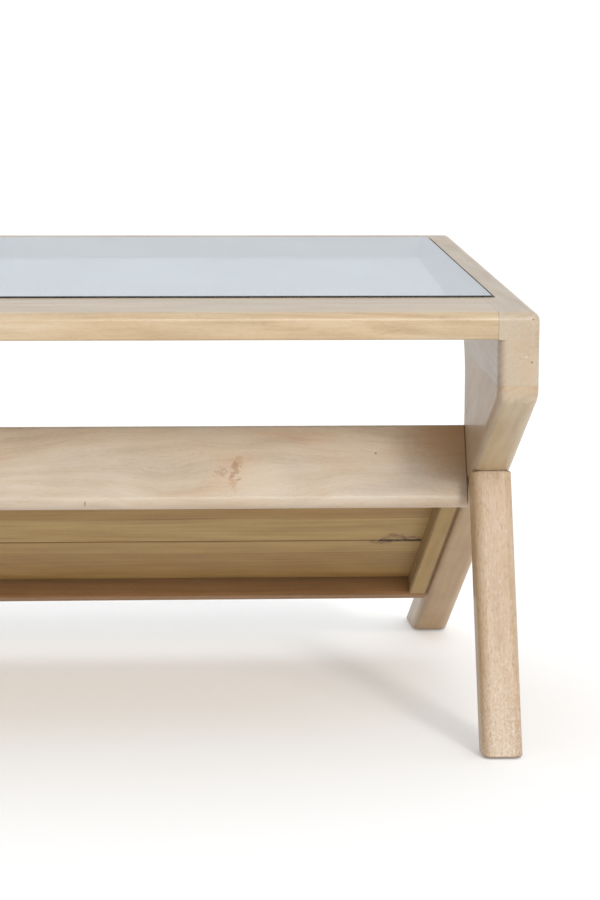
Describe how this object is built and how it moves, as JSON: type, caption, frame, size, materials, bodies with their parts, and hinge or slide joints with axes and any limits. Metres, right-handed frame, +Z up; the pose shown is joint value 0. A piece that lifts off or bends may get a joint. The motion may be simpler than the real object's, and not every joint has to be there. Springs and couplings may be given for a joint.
{
  "type": "display coffee table",
  "caption": "Low wooden display table with an inset lift-out glass top over a sloped plank tray, on lambda-shaped side frames with diagonal rear legs.",
  "frame": {"origin": "on the floor, in the middle of the length and of the depth from front rail to heels", "axes": "+X along the length to the right, -Y to the front, +Z up"},
  "size_m": [1.2, 0.745, 0.4515],
  "materials": {
    "pale_wood": "bleached, satin lacquer",
    "peg_wood": "raw planed wood",
    "clear_glass": "clear, polished edge",
    "clear_bumper": "clear soft polymer",
    "screw_steel": "zinc plated",
    "felt": "pressed felt"
  },
  "bodies": {
    "frame": {"board_tenons": "peg_wood", "cleat_left": "pale_wood", "cleat_right": "pale_wood", "cleat_screws": "screw_steel", "foot_pads": "felt", "front_leg_left": "pale_wood", "front_leg_right": "pale_wood", "front_leg_tenons": "peg_wood", "front_rail": "pale_wood", "front_rail_tenons": "peg_wood", "glass_bumpers": "clear_bumper", "head_tenons": "peg_wood", "lip_tenons": "peg_wood", "plank_splines": "peg_wood", "rear_leg_left": "pale_wood", "rear_leg_right": "pale_wood", "rear_rail": "pale_wood", "rear_rail_tenons": "peg_wood", "shelf_plank_lower": "pale_wood", "shelf_plank_middle": "pale_wood", "shelf_plank_upper": "pale_wood", "top_arm_left": "pale_wood", "top_arm_right": "pale_wood", "tray_front_board": "pale_wood", "tray_lip": "pale_wood"},
    "glass": {"glass_top": "clear_glass"}
  },
  "joints": [
    {"name": "glass_lift", "type": "slide", "parent": "frame", "child": "glass", "axis": [0, 0, 1], "range_m": [0, 0.05]}
  ]
}
